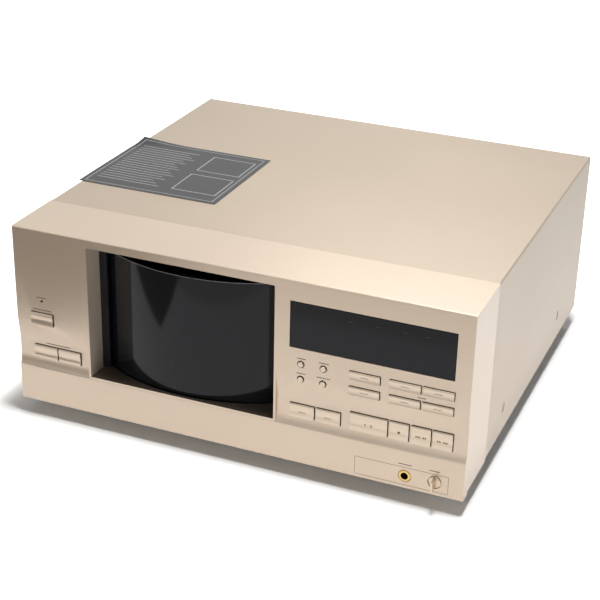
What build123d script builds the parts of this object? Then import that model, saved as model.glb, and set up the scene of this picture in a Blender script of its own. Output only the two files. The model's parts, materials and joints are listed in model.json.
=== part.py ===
from build123d import *
import os
from math import cos, pi, radians, sin, tan

os.makedirs("parts", exist_ok=True)

# A free-standing changer that keeps about a hundred discs on edge in a rotary rack, behind a curved
# door that turns aside.  Millimetres, +Z up, +X to the right seen from the front, +Y to the back.
# The origin is on the floor, under the middle of the box.

# ---------------------------------------------------------------- driving dimensions
WIDTH = 420.0
DEPTH = 395.0          # front face to the back edge of the cover
BODY_H = 170.0         # cabinet without its feet
FOOT_H = 15.0
FASCIA_WALL = 2.5      # moulded front
FASCIA_DEPTH = 65.0    # how far the moulding wraps over the top and the sides
SHEET = 1.0            # folded steel
SEAM = 0.4             # joint line between the moulding and the cover
LIP_TOP = 34.0         # top edge of the plain lower lip
RECESS = 2.5           # how far the key field lies behind the lip
KEY_PROUD = 1.8
KEY_GAP = 0.45
KEY_TRAVEL = 1.0

DISC_R = 60.0
SLOTS = 101
RACK_X = -49.0         # vertical axis shared by the disc rack and the door
RACK_D = 162.0         # its distance behind the front face
DISC_ORBIT = 92.0      # rack axis to the centre of a stored disc
DISC_MID = 91.0        # height of the disc centres above the cabinet's bottom
RACK_R = 152.0
COLUMN_R = 45.5
SLOT_W = 1.8
DOOR_R = 157.0
DOOR_WALL = 2.5
DOOR_HALF = 37.0       # degrees each side of straight ahead
DOOR_TOP = 151.0
DOOR_SWING = 74.0      # how far the door turns aside
MECH_ANGLE = 42.0      # direction in which discs leave the rack, from +X towards +Y
MECH_REACH = 216.0     # rack axis to the disc centre in the player


def across(x):
    """X of a point x to the right of the cabinet's left side."""
    return x - WIDTH / 2


def deep(d):
    """Y of a point d behind the front face."""
    return d - DEPTH / 2


def up(h):
    """Z of a point h above the cabinet's bottom."""
    return h + FOOT_H


def save(piece, node):
    piece.part.label = node
    export_step(piece.part, f"parts/{node}.step")


def block(x, y, z, mode=Mode.ADD):
    """A square-edged lump between three pairs of limits."""
    with Locations(((x[0] + x[1]) / 2, (y[0] + y[1]) / 2, (z[0] + z[1]) / 2)):
        Box(x[1] - x[0], y[1] - y[0], z[1] - z[0], mode=mode)


def facing(x, d, z):
    """A plane that looks out of the front, with its origin at a measured place."""
    return Plane(origin=(across(x), deep(d), up(z)), x_dir=(1, 0, 0), z_dir=(0, -1, 0))


def gear_face(teeth, module, start, span=360.0):
    """Straight-flanked teeth, thinned for backlash, round the current plane's origin."""
    pitch_r = teeth * module / 2
    root_r = pitch_r - 1.15 * module
    tip_r = pitch_r + 0.8 * module
    thick = 0.40 * pi * module
    lean = 0.8 * module * 0.36
    count = round(teeth * span / 360)
    with PolarLocations(0, count, start, angular_range=span if span < 360 else 360):
        Polygon(
            (root_r - 0.4, -thick / 2 - lean),
            (tip_r, -thick / 2 + lean),
            (tip_r, thick / 2 - lean),
            (root_r - 0.4, thick / 2 + lean),
            align=None,
        )


RACK_AXIS = Vector(RACK_X, deep(RACK_D), 0)
rack_floor = Plane(origin=(RACK_X, deep(RACK_D), FOOT_H))

# ---------------------------------------------------------------- keys: left, right, bottom, top
PANEL_KEYS = {
    "power_key": (14.9, 36.9, 78.7, 90.5),
    "left_key_a": (15.4, 38.7, 44.6, 57.0),
    "left_key_b": (39.8, 62.1, 44.6, 57.0),
    "small_key_upper_a": (317.0, 343.7, 91.4, 99.0),
    "small_key_upper_b": (351.9, 378.6, 91.4, 99.0),
    "small_key_upper_c": (380.4, 406.8, 91.4, 99.0),
    "small_key_lower_a": (317.0, 343.7, 77.3, 85.0),
    "small_key_lower_b": (351.9, 378.6, 77.3, 85.0),
    "small_key_lower_c": (380.4, 406.8, 77.3, 85.0),
    "wide_key_a": (264.1, 286.2, 43.6, 56.1),
    "wide_key_b": (288.0, 309.7, 43.6, 56.1),
    "play_key": (318.2, 351.3, 43.6, 59.7),
    "stop_key": (353.1, 369.8, 43.6, 59.7),
    "previous_key": (371.8, 388.9, 43.6, 59.7),
    "next_key": (390.6, 407.6, 43.6, 59.7),
}
ROUND_KEYS = {
    "round_key_a": (273.8, 95.0),
    "round_key_b": (293.8, 95.0),
    "round_key_c": (273.8, 81.0),
    "round_key_d": (293.8, 81.0),
}
ROUND_KEY_R = 2.5
ROUND_HOLE_R = 3.35

WINDOW = (73.0, 249.5, 37.0, 162.0)
DISPLAY = (263.5, 405.7, 109.5, 151.4)
REVEAL = 22.0          # depth of the window's side walls
LED_AT = (26.0, 102.0)
JACK_AT = (368.9, 11.6)
KNOB_AT = (395.0, 12.3)
JACK_R = 5.7
JACK_BORE_R = 3.2
JACK_LENGTH = 28.0
KNOB_R = 5.2
DISH_R = 6.3
SHAFT_R = 3.0


def surface(z):
    """How far the front surface lies behind the lip at height z."""
    slope_top, slope_foot = 82.0, 61.0
    if z >= slope_top or z <= LIP_TOP:
        return 0.0
    if z >= slope_foot:
        return RECESS * (slope_top - z) / (slope_top - slope_foot)
    return RECESS


# ---------------------------------------------------------------- moulded front
with BuildPart() as front_panel:
    with BuildSketch(Plane.YZ.offset(-WIDTH / 2)):
        with BuildLine():
            face = Polyline(
                (deep(0), up(LIP_TOP)),
                (deep(0), up(0)),
                (deep(FASCIA_DEPTH), up(0)),
                (deep(FASCIA_DEPTH), up(BODY_H)),
                (deep(0), up(BODY_H)),
                (deep(0), up(82)),
                (deep(RECESS), up(61)),
                (deep(RECESS), up(45)),
            )
            ThreePointArc(face @ 1, (deep(1.87), up(39.36)), face @ 0)
        make_face()
    extrude(amount=WIDTH)
    fillet(front_panel.edges().filter_by(Axis.X).group_by(Axis.Y)[0].sort_by(Axis.Z)[-1], 1.2)
    # hollow from behind, open at the back and, behind a short return, below
    with BuildSketch(Plane.YZ.offset(-WIDTH / 2 + FASCIA_WALL)):
        Polygon(
            (deep(FASCIA_WALL), up(2)),
            (deep(FASCIA_WALL), up(32)),
            (deep(5), up(37)),
            (deep(5), up(61)),
            (deep(FASCIA_WALL), up(82)),
            (deep(FASCIA_WALL), up(BODY_H - FASCIA_WALL)),
            (deep(FASCIA_DEPTH + 1), up(BODY_H - FASCIA_WALL)),
            (deep(FASCIA_DEPTH + 1), up(2)),
            align=None,
        )
    extrude(amount=WIDTH - 2 * FASCIA_WALL, mode=Mode.SUBTRACT)
    block((-WIDTH, WIDTH), (deep(12), deep(90)), (up(-1), up(2.4)), Mode.SUBTRACT)
    # window surround: side walls and top run back, the sill follows the door's curve
    win_w = WINDOW[1] - WINDOW[0]
    win_h = WINDOW[3] - WINDOW[2]
    win_x = across((WINDOW[0] + WINDOW[1]) / 2)
    win_z = up((WINDOW[2] + WINDOW[3]) / 2)
    with BuildSketch(Plane(origin=(win_x, deep(0), win_z), x_dir=(1, 0, 0), z_dir=(0, -1, 0))):
        RectangleRounded(win_w + 4, win_h + 4, 3)
    extrude(amount=-REVEAL)
    block((win_x - win_w / 2 - 2, win_x + win_w / 2 + 2), (deep(2), deep(34)), (up(34.6), up(37)))
    with BuildSketch(Plane(origin=(win_x, deep(-2), win_z), x_dir=(1, 0, 0), z_dir=(0, -1, 0))):
        RectangleRounded(win_w, win_h, 1)
    extrude(amount=-REVEAL - 30, mode=Mode.SUBTRACT)
    with BuildSketch(rack_floor.offset(3)):
        Circle(DOOR_R + 1.4)
    extrude(amount=156, mode=Mode.SUBTRACT)
    # openings for the display, keys, lamp, socket and level control
    with BuildSketch(facing((DISPLAY[0] + DISPLAY[1]) / 2, -2, (DISPLAY[2] + DISPLAY[3]) / 2)):
        Rectangle(DISPLAY[1] - DISPLAY[0] + 0.6, DISPLAY[3] - DISPLAY[2] + 0.6)
    extrude(amount=-8, mode=Mode.SUBTRACT)
    with BuildSketch(facing(0, -2, 0)):
        for left, right, bottom, top in PANEL_KEYS.values():
            with Locations(((left + right) / 2, (bottom + top) / 2)):
                Rectangle(right - left + 2 * KEY_GAP, top - bottom + 2 * KEY_GAP)
        for centre in ROUND_KEYS.values():
            with Locations(centre):
                Circle(ROUND_HOLE_R)
        with Locations(LED_AT):
            Circle(1.2)
        with Locations(JACK_AT):
            Circle(JACK_R + 0.1)
        with Locations(KNOB_AT):
            Circle(SHAFT_R + 0.5)
    extrude(amount=-9, mode=Mode.SUBTRACT)
    with BuildSketch(facing(KNOB_AT[0], -1, KNOB_AT[1])):
        Circle(DISH_R)
    extrude(amount=-2.2, mode=Mode.SUBTRACT)
    # tongue that the cover slides over
    with BuildSketch(Plane.XZ.offset(-deep(FASCIA_DEPTH - 6))):
        with Locations((0, up(BODY_H / 2))):
            Rectangle(WIDTH - 3, BODY_H - 3)
            Rectangle(WIDTH - 6.4, BODY_H - 6.4, mode=Mode.SUBTRACT)
        with Locations((0, up(0))):
            Rectangle(WIDTH, 48, mode=Mode.SUBTRACT)
    extrude(amount=-14)
save(front_panel, "front_panel")

# ---------------------------------------------------------------- black inner frame of the window
FRAME_DEPTH = 9.0
with BuildPart() as window_frame:
    with BuildSketch(Plane(origin=(win_x, deep(REVEAL + 0.2), win_z), x_dir=(1, 0, 0), z_dir=(0, -1, 0))):
        with Locations((0, 2.6)):
            Rectangle(win_w + 12, win_h + 4.4)
        with Locations((0, -2)):
            Rectangle(win_w - 14, win_h + 4.5, mode=Mode.SUBTRACT)
    extrude(amount=-3)
    # cheeks that run back beside the door, and a roof over the rack's front
    for side in (-1, 1):
        wall_x = win_x + side * (win_w / 2 + 5)
        block((wall_x - 1, wall_x + 1), (deep(REVEAL + 0.2), deep(58)), (up(20), up(164)))
    block((win_x - win_w / 2 - 6, win_x + win_w / 2 + 6), (deep(REVEAL + 0.2), deep(70)), (up(162.5), up(165)))
    with BuildSketch(rack_floor.offset(2)):
        Circle(DOOR_R + 0.9)
    extrude(amount=151.5, mode=Mode.SUBTRACT)
save(window_frame, "window_frame")

# ---------------------------------------------------------------- display
with BuildPart() as display_lens:
    with BuildSketch(facing((DISPLAY[0] + DISPLAY[1]) / 2, 0.3, (DISPLAY[2] + DISPLAY[3]) / 2)):
        Rectangle(DISPLAY[1] - DISPLAY[0], DISPLAY[3] - DISPLAY[2])
    extrude(amount=-2)
    chamfer(display_lens.edges().group_by(Axis.Y)[0], 0.25)
save(display_lens, "display_lens")

with BuildPart() as display_tube:
    with BuildSketch(facing(334, 4, 131)):
        RectangleRounded(122, 30, 2)
    extrude(amount=-6)
    with BuildSketch(facing(334, 10, 131)):
        with GridLocations(6, 26, 18, 2):
            Rectangle(0.8, 0.8)
    extrude(amount=-2)
save(display_tube, "display_tube")

# ---------------------------------------------------------------- circuit boards behind the front
BOARD_D = 12.0
SWITCH_T = 0.8
STEM_END = BOARD_D - SWITCH_T - KEY_TRAVEL - 0.3   # a resting key just clears its switch
with BuildPart() as front_boards:
    block((across(258), across(416) - 4), (deep(BOARD_D), deep(BOARD_D + 1.6)), (up(38), up(158)))
    block((across(9), across(67)), (deep(BOARD_D), deep(BOARD_D + 1.6)), (up(38), up(112)))
    # a push switch behind every key
    with BuildSketch(facing(0, BOARD_D, 0)):
        for left, right, bottom, top in PANEL_KEYS.values():
            with Locations(((left + right) / 2, (bottom + top) / 2)):
                Rectangle(4, 4)
        for centre in ROUND_KEYS.values():
            with Locations(centre):
                Rectangle(4, 4)
    extrude(amount=SWITCH_T)
    # the socket and level control have their own small board under the key field
    block((across(355), across(409)), (deep(31.4), deep(33)), (up(3), up(30)))
    with BuildSketch(facing(KNOB_AT[0], 12, KNOB_AT[1])):
        Circle(8)
    extrude(amount=-19.4)
save(front_boards, "front_boards")

with BuildPart() as power_led:
    with BuildSketch(facing(LED_AT[0], -0.3, LED_AT[1])):
        Circle(1.0)
    extrude(amount=-5.3)
    with BuildSketch(facing(LED_AT[0], 5, LED_AT[1])):
        Circle(1.6)
    extrude(amount=-7)
save(power_led, "power_led")

# ---------------------------------------------------------------- headphone socket and level knob
with BuildPart() as phones_jack:
    with BuildSketch(Plane.XY):
        with BuildLine():
            Polyline(
                (JACK_BORE_R, 0.6),
                (JACK_R - 0.9, 0.6),
                (JACK_R, -0.2),
                (JACK_R, -9),
                (JACK_R + 2.2, -9),
                (JACK_R + 2.2, -JACK_LENGTH + 0.6),
                (JACK_BORE_R, -JACK_LENGTH + 0.6),
                close=True,
            )
        make_face()
    revolve(axis=Axis.Y)
phones_jack.part = phones_jack.part.moved(
    Location(facing(JACK_AT[0], 0, JACK_AT[1])) * Location((0, 0, 0), (90, 0, 0))
)
save(phones_jack, "phones_jack")

with BuildPart() as level_knob:
    with BuildSketch(facing(KNOB_AT[0], 0.9, KNOB_AT[1])):
        Circle(KNOB_R)
    extrude(amount=1.4)
    chamfer(level_knob.edges().group_by(Axis.Y)[0], 0.5)
    # a raised pointer bar across the dial, thinner towards the hand
    with BuildSketch(facing(KNOB_AT[0], 0, KNOB_AT[1])):
        SlotOverall(10.2, 3.2, rotation=90)
    extrude(amount=9, taper=4)
    with BuildSketch(facing(KNOB_AT[0], 0.9, KNOB_AT[1])):
        Circle(SHAFT_R)
    extrude(amount=-10.8)
save(level_knob, "level_knob")


# ---------------------------------------------------------------- keys
def panel_key(node, left, right, bottom, top):
    """A rectangular key: bevelled top edge, shallow finger hollow, rear guide and stem."""
    mid_x, mid_z = (left + right) / 2, (bottom + top) / 2
    wide, high = right - left, top - bottom
    skin = surface(mid_z)
    front_d = skin - KEY_PROUD
    with BuildPart() as key:
        with BuildSketch(facing(mid_x, front_d, mid_z)):
            Rectangle(wide, high)
        extrude(amount=-(KEY_PROUD + FASCIA_WALL + 2.2))
        front_edges = key.edges().group_by(Axis.Y)[0].filter_by(Axis.X)
        chamfer(front_edges.sort_by(Axis.Z)[-1], 0.9)
        with BuildSketch(Plane.YZ.offset(across(left) - 1)):
            with Locations((deep(front_d) - 11.6, up(mid_z) - 0.06 * high)):
                Circle(12.0)
        extrude(amount=wide + 2, mode=Mode.SUBTRACT)
        # rim behind the wall keeps the key in; the stem reaches the switch
        with BuildSketch(facing(mid_x, skin + FASCIA_WALL + 1.2, mid_z)):
            Rectangle(wide, high + 3)
        extrude(amount=-1)
        with BuildSketch(facing(mid_x, skin + FASCIA_WALL + 2, mid_z)):
            Rectangle(3, 3)
        extrude(amount=-(STEM_END - skin - FASCIA_WALL - 2))
    save(key, node)


def round_key(node, x, z):
    skin = surface(z)
    with BuildPart() as key:
        with BuildSketch(facing(x, skin - 1.2, z)):
            Circle(ROUND_KEY_R)
        extrude(amount=-(1.2 + FASCIA_WALL + 2.2))
        chamfer(key.edges().group_by(Axis.Y)[0], 0.3)
        with BuildSketch(facing(x, skin + FASCIA_WALL + 1.2, z)):
            Circle(ROUND_HOLE_R + 0.8)
        extrude(amount=-1)
        with BuildSketch(facing(x, skin + FASCIA_WALL + 2, z)):
            Circle(1.2)
        extrude(amount=-(STEM_END - skin - FASCIA_WALL - 2))
    save(key, node)


for node, limits in PANEL_KEYS.items():
    panel_key(node, *limits)
for node, centre in ROUND_KEYS.items():
    round_key(node, *centre)

# ---------------------------------------------------------------- folded steel cabinet
SIDE_WALL_H = 44.0
SCREW_AT = ((114.0, 30.0), (310.0, 32.0))    # depth and height of the side screws
FOOT_AT = ((-160.0, -140.0), (160.0, -140.0), (-160.0, 150.0), (160.0, 150.0))
FLOOR = 1.2
PAD_T = 2.5
with BuildPart() as base_chassis:
    block((-206.6, 206.6), (deep(12.4), deep(393)), (up(0), up(FLOOR)))
    for side in (-1, 1):
        block(sorted((side * 205.4, side * 206.6)), (deep(12.4), deep(393)), (up(0), up(SIDE_WALL_H)))
    block((-206.6, 206.6), (deep(12.4), deep(13.6)), (up(0), up(3.2)))
    # pressed ribs stiffen the floor round the rack and under the transformer
    with BuildSketch(rack_floor.offset(FLOOR)):
        Circle(82)
        Circle(76, mode=Mode.SUBTRACT)
    extrude(amount=1.6)
    with BuildSketch(Plane.XY.offset(up(FLOOR))):
        with Locations((186, deep(200))):
            SlotOverall(220, 10, rotation=90)
        with Locations((-80, deep(384))):
            SlotOverall(120, 8)
    extrude(amount=1.6)
    # cooling slots beside the boards
    with BuildSketch(Plane.XY.offset(up(-0.5))):
        with Locations((142, deep(230))):
            with GridLocations(0, 12, 1, 6):
                Rectangle(30, 4)
    extrude(amount=FLOOR + 2.5, mode=Mode.SUBTRACT)
    with BuildSketch(Plane.YZ.offset(-WIDTH)):
        for d, h in SCREW_AT:
            with Locations((deep(d), up(h))):
                Circle(1.7)
    extrude(amount=2 * WIDTH, mode=Mode.SUBTRACT)
save(base_chassis, "base_chassis")

COVER_FRONT = FASCIA_DEPTH + SEAM
with BuildPart() as top_cover:
    with BuildSketch(Plane.XZ.offset(-deep(COVER_FRONT))):
        with Locations((0, up(BODY_H / 2 + 2))):
            RectangleRounded(WIDTH, BODY_H - 4, 1.6)
            RectangleRounded(WIDTH - 2 * SHEET, BODY_H - 4 - 2 * SHEET, 0.6, mode=Mode.SUBTRACT)
        with Locations((0, up(4))):
            Rectangle(WIDTH - 5.6, 6, mode=Mode.SUBTRACT)
    extrude(amount=-(DEPTH - COVER_FRONT))
    # stepped rear edge turned down over the back panel
    block((-WIDTH / 2 + 1, WIDTH / 2 - 1), (deep(DEPTH - 1.8), deep(DEPTH - 0.8)), (up(157), up(169.5)))
    with BuildSketch(Plane.YZ.offset(-WIDTH)):
        for d, h in SCREW_AT:
            with Locations((deep(d), up(h))):
                Circle(4.6)
    extrude(amount=2 * WIDTH, mode=Mode.SUBTRACT)
save(top_cover, "top_cover")

# rear panel with its sockets
LINE_AT = ((150.0, 34.0), (150.0, 50.0), (170.0, 34.0), (170.0, 50.0))
CONTROL_AT = ((118.0, 34.0), (118.0, 50.0))
OPTICAL_AT = (92.0, 42.0)
CORD_AT = (-168.0, 30.0)
REAR_D = 391.8
REAR_T = 1.2
with BuildPart() as rear_panel:
    block((-205.2, 205.2), (deep(REAR_D), deep(REAR_D + REAR_T)), (up(FLOOR), up(168.6)))
    block((-205.2, 205.2), (deep(REAR_D - 9), deep(REAR_D)), (up(167.4), up(168.6)))
    with BuildSketch(Plane.XZ.offset(-deep(REAR_D - 1))):
        for x, h in LINE_AT:
            with Locations((x, up(h))):
                Circle(5.3)
        for x, h in CONTROL_AT:
            with Locations((x, up(h))):
                Circle(3.4)
        with Locations((OPTICAL_AT[0], up(OPTICAL_AT[1]))):
            Rectangle(9.6, 10.6)
        with Locations((CORD_AT[0], up(CORD_AT[1]))):
            Circle(6.0)
    extrude(amount=-4, mode=Mode.SUBTRACT)
    # a pressed field round the sockets
    with BuildSketch(Plane.XZ.offset(-deep(REAR_D + REAR_T))):
        with Locations((132, up(42))):
            RectangleRounded(104, 40, 4)
            RectangleRounded(102, 38, 3, mode=Mode.SUBTRACT)
    extrude(amount=-0.5)
save(rear_panel, "rear_panel")

rear_face = Plane.XZ.offset(-deep(REAR_D + REAR_T))
with BuildPart() as line_jacks:
    with BuildSketch(rear_face):
        for x, h in LINE_AT:
            with Locations((x, up(h))):
                Circle(4.15)
                Circle(3.5, mode=Mode.SUBTRACT)
    extrude(amount=-11)
    with BuildSketch(rear_face.offset(2)):
        for x, h in LINE_AT:
            with Locations((x, up(h))):
                Circle(5.1)
    extrude(amount=-3)
    with BuildSketch(Plane.XZ.offset(-deep(REAR_D - 10))):
        with Locations((160, up(42))):
            Rectangle(34, 30)
    extrude(amount=-9.8)
save(line_jacks, "line_jacks")

with BuildPart() as control_jacks:
    with BuildSketch(rear_face.offset(13.2)):
        with Locations((118, up(42))):
            Rectangle(12, 30)
    extrude(amount=-11.8)
    with BuildSketch(rear_face.offset(2)):
        for x, h in CONTROL_AT:
            with Locations((x, up(h))):
                Circle(3.2)
    extrude(amount=-3.2)
    with BuildSketch(rear_face.offset(11)):
        for x, h in CONTROL_AT:
            with Locations((x, up(h))):
                Circle(1.8)
    extrude(amount=-14, mode=Mode.SUBTRACT)
save(control_jacks, "control_jacks")

with BuildPart() as optical_socket:
    with BuildSketch(rear_face.offset(13.2)):
        with Locations((OPTICAL_AT[0], up(OPTICAL_AT[1]))):
            Rectangle(9.2, 10.2)
    extrude(amount=-14.6)
    # D-shaped well for the plug
    with BuildSketch(rear_face.offset(-1.4)):
        with Locations((OPTICAL_AT[0], up(OPTICAL_AT[1]))):
            Rectangle(6.6, 6.2)
            Rectangle(4.6, 8.2)
    extrude(amount=10, mode=Mode.SUBTRACT)
save(optical_socket, "optical_socket")

with BuildPart() as cord_bush:
    with BuildSketch(Plane.XY):
        with BuildLine():
            Polyline((3.4, -9), (5.8, -9), (5.8, -0.1), (8.2, -0.1), (8.2, 2.4), (5.2, 7.5), (3.4, 7.5), close=True)
        make_face()
    revolve(axis=Axis.Y)
cord_bush.part = cord_bush.part.moved(Location((CORD_AT[0], deep(REAR_D + REAR_T) + 0.15, up(CORD_AT[1]))))
save(cord_bush, "cord_bush")

with BuildPart() as feet:
    with BuildSketch(Plane.XY.offset(PAD_T + 0.05)):
        with Locations(*FOOT_AT):
            Circle(17)
    extrude(amount=FOOT_H - PAD_T - 0.1, taper=-14)
save(feet, "feet")

with BuildPart() as foot_pads:
    with BuildSketch(Plane.XY):
        with Locations(*FOOT_AT):
            Circle(14.8)
    extrude(amount=PAD_T)
save(foot_pads, "foot_pads")

with BuildPart() as cover_screws:
    for side in (-1, 1):
        for d, h in SCREW_AT:
            seat = Plane(origin=(side * 207.1, deep(d), up(h)), x_dir=(0, 1, 0), z_dir=(side, 0, 0))
            with BuildSketch(seat):
                Circle(4.2)
            extrude(amount=2.5)
            with BuildSketch(seat):
                RegularPolygon(1.6, 8)
            extrude(amount=-6)
save(cover_screws, "cover_screws")

with BuildPart() as rear_screws:
    for x in (-195.0, 0.0, 195.0):
        with BuildSketch(Plane.XZ.offset(-deep(DEPTH - 0.8))):
            with Locations((x, up(163))):
                Circle(3.6)
        extrude(amount=-1.8, taper=12)
save(rear_screws, "rear_screws")

# ---------------------------------------------------------------- disc rack
SLOT_PITCH = 360 / SLOTS
HUB_R = 9.0
HUB_BORE = 7.06
POST_R = 7.0
RACK_MODULE = 2.0
RACK_TEETH = 99
RACK_PINION_TEETH = 12
RACK_DRIVE_ANGLE = 135.0
TRAY_UNDER = 20.0


GROOVE_R = DISC_R + 0.5             # the groove's floor is three flats round the disc's edge
GROOVE_LOW = DISC_MID - GROOVE_R
FLAT_HALF = GROOVE_R * tan(radians(22.5))
FLANK_OUT = GROOVE_R * sin(radians(45))
FLANK_UP = DISC_MID - GROOVE_R * cos(radians(45))

with BuildPart() as carousel_tray:
    # trough that carries the discs, with a sloped index rim outside it
    with BuildSketch(Plane(origin=RACK_AXIS + Vector(0, 0, FOOT_H), x_dir=(1, 0, 0), z_dir=(0, -1, 0))):
        Polygon(
            (HUB_BORE, TRAY_UNDER - 6),
            (HUB_R + 6, TRAY_UNDER - 6),
            (HUB_R + 8, 21),
            (47, 21),
            (49, 42),
            (65, 27.5),
            (119, 27.5),
            (134, 42),
            (149.5, 26.5),
            (149.5, TRAY_UNDER),
            (RACK_R, TRAY_UNDER),
            (RACK_R, 28),
            (134, 47.5),
            (112, 38),
            (72, 38),
            (50, 47.5),
            (COLUMN_R + 0.5, 47.5),
            (COLUMN_R + 0.5, 24),
            (HUB_BORE, 24),
            align=None,
        )
    revolve(axis=Axis((RACK_X, deep(RACK_D), 0), (0, 0, 1)))
    # one groove for each disc, its floor close under the disc's edge
    with BuildSketch(Plane(origin=RACK_AXIS + Vector(0, SLOT_W / 2, FOOT_H), x_dir=(1, 0, 0), z_dir=(0, -1, 0))):
        Polygon(
            (DISC_ORBIT - FLANK_OUT, FLANK_UP),
            (DISC_ORBIT - FLAT_HALF, GROOVE_LOW),
            (DISC_ORBIT + FLAT_HALF, GROOVE_LOW),
            (DISC_ORBIT + FLANK_OUT, FLANK_UP),
            align=None,
        )
    groove = extrude(amount=SLOT_W, mode=Mode.PRIVATE)
    grooves = [groove.rotate(Axis((RACK_X, deep(RACK_D), 0), (0, 0, 1)), i * SLOT_PITCH) for i in range(SLOTS)]
    add(grooves, mode=Mode.SUBTRACT)
    # ring gear under the trough
    ring_root = RACK_TEETH * RACK_MODULE / 2 - 1.15 * RACK_MODULE
    with BuildSketch(rack_floor.offset(TRAY_UNDER - 8)):
        Circle(ring_root)
        Circle(ring_root - 4, mode=Mode.SUBTRACT)
    extrude(amount=16.8)
    with BuildSketch(rack_floor.offset(TRAY_UNDER - 8)):
        gear_face(RACK_TEETH, RACK_MODULE, RACK_DRIVE_ANGLE)
    extrude(amount=8)
save(carousel_tray, "carousel_tray")

with BuildPart() as carousel_column:
    with BuildSketch(rack_floor.offset(24.1)):
        Circle(COLUMN_R)
        with PolarLocations(COLUMN_R - 5, SLOTS):
            Rectangle(14, 1.5, mode=Mode.SUBTRACT)
        Circle(29, mode=Mode.SUBTRACT)
    extrude(amount=98)
    # plain cap with a rounded shoulder closes the grooves at the top
    with BuildSketch(rack_floor.offset(122)):
        Circle(33.3)
    extrude(amount=5, taper=30)
save(carousel_column, "carousel_column")

with BuildPart() as carousel_post:
    with BuildSketch(Plane(origin=RACK_AXIS + Vector(0, 0, FOOT_H), x_dir=(1, 0, 0), z_dir=(0, -1, 0))):
        Polygon((0, FLOOR), (28, FLOOR), (28, 4), (13, 6), (12, 13.9), (POST_R, 13.9), (POST_R, 60), (0, 62), align=None)
    revolve(axis=Axis((RACK_X, deep(RACK_D), 0), (0, 0, 1)))
save(carousel_post, "carousel_post")

rack_drive_reach = (RACK_TEETH + RACK_PINION_TEETH) * RACK_MODULE / 2
rack_drive_x = RACK_X + rack_drive_reach * cos(radians(RACK_DRIVE_ANGLE))
rack_drive_y = deep(RACK_D) + rack_drive_reach * sin(radians(RACK_DRIVE_ANGLE))
MOTOR_SHAFT_R = 1.5
with BuildPart() as carousel_gear:
    with BuildSketch(Plane(origin=(rack_drive_x, rack_drive_y, up(12.4)))):
        Circle(RACK_PINION_TEETH * RACK_MODULE / 2 - 1.15 * RACK_MODULE)
        gear_face(RACK_PINION_TEETH, RACK_MODULE, RACK_DRIVE_ANGLE + 180 + 180 / RACK_PINION_TEETH)
        Circle(MOTOR_SHAFT_R + 0.05, mode=Mode.SUBTRACT)
    extrude(amount=6)
save(carousel_gear, "carousel_gear")

with BuildPart() as carousel_motor:
    with BuildSketch(Plane(origin=(rack_drive_x, rack_drive_y, up(FLOOR)))):
        Circle(17)
    extrude(amount=9.6)
    chamfer(carousel_motor.edges().group_by(Axis.Z)[-1], 1)
    with BuildSketch(Plane(origin=(rack_drive_x, rack_drive_y, up(FLOOR)))):
        Circle(MOTOR_SHAFT_R)
    extrude(amount=17.6)
save(carousel_motor, "carousel_motor")

# ---------------------------------------------------------------- rotary door
DOOR_MODULE = 1.5
DOOR_TEETH = 206                   # if its rack ran full circle
DOOR_PINION_TEETH = 12
DOOR_DRIVE_ANGLE = 48.0            # from straight ahead towards +X
DOOR_RACK_END = 62.0
RING_LOW, RING_HIGH = 11.0, 17.0


def ahead(angle):
    """Polar angle of a direction turned from straight ahead towards +X."""
    return angle - 90.0


def sector(inner, outer, start, end, mode=Mode.ADD):
    """Ring sector round the current plane's origin, between two directions."""
    with BuildLine() as outline:
        inner_arc = CenterArc((0, 0), inner, ahead(start), end - start)
        outer_arc = CenterArc((0, 0), outer, ahead(start), end - start)
        Line(inner_arc @ 0, outer_arc @ 0)
        Line(inner_arc @ 1, outer_arc @ 1)
    make_face(outline.edges(), mode=mode)


with BuildPart() as rotary_door:
    with BuildSketch(rack_floor.offset(RING_HIGH - 0.5)):
        sector(DOOR_R - DOOR_WALL, DOOR_R, -DOOR_HALF, DOOR_HALF)
    extrude(amount=DOOR_TOP - RING_HIGH + 0.5)
    # inward rims stiffen the top and bottom edges
    with BuildSketch(rack_floor.offset(DOOR_TOP - 2)):
        sector(DOOR_R - 4.2, DOOR_R - 1, -DOOR_HALF, DOOR_HALF)
    extrude(amount=2)
    fillet(rotary_door.faces().sort_by(Axis.Z)[-1].edges().filter_by(GeomType.CIRCLE).sort_by(Edge.length)[-1:], 0.6)
    # toothed ring below, with a tail that stays in mesh while the door is closed
    pitch = DOOR_TEETH * DOOR_MODULE / 2
    rack_tip = pitch + 0.8 * DOOR_MODULE
    with BuildSketch(rack_floor.offset(RING_LOW)):
        sector(pitch - 11, pitch - 1.15 * DOOR_MODULE, -DOOR_HALF, DOOR_RACK_END)
        tooth_step = 360 / DOOR_TEETH
        first_tooth = ahead(DOOR_DRIVE_ANGLE) - 45 * tooth_step
        gear_face(DOOR_TEETH, DOOR_MODULE, first_tooth, 51 * tooth_step)
    extrude(amount=RING_HIGH - RING_LOW)
save(rotary_door, "rotary_door")

with BuildPart() as door_rail:
    # channel that the ring slides in; its hooked inner lip keeps the door upright
    ring_inner = pitch - 11
    rail_end = DOOR_RACK_END + DOOR_SWING + 2
    with BuildSketch(rack_floor.offset(FLOOR)):
        sector(ring_inner - 5, ring_inner + 4, -DOOR_HALF - 3, rail_end)
    extrude(amount=RING_LOW - 0.3 - FLOOR)
    with BuildSketch(rack_floor.offset(RING_LOW - 0.3)):
        sector(ring_inner - 5, ring_inner - 0.5, -DOOR_HALF - 3, rail_end)
    extrude(amount=RING_HIGH - RING_LOW + 1.8)
    with BuildSketch(rack_floor.offset(RING_HIGH + 0.3)):
        sector(ring_inner - 5, ring_inner + 3, -DOOR_HALF - 3, rail_end)
    extrude(amount=1.2)
save(door_rail, "door_rail")

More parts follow.
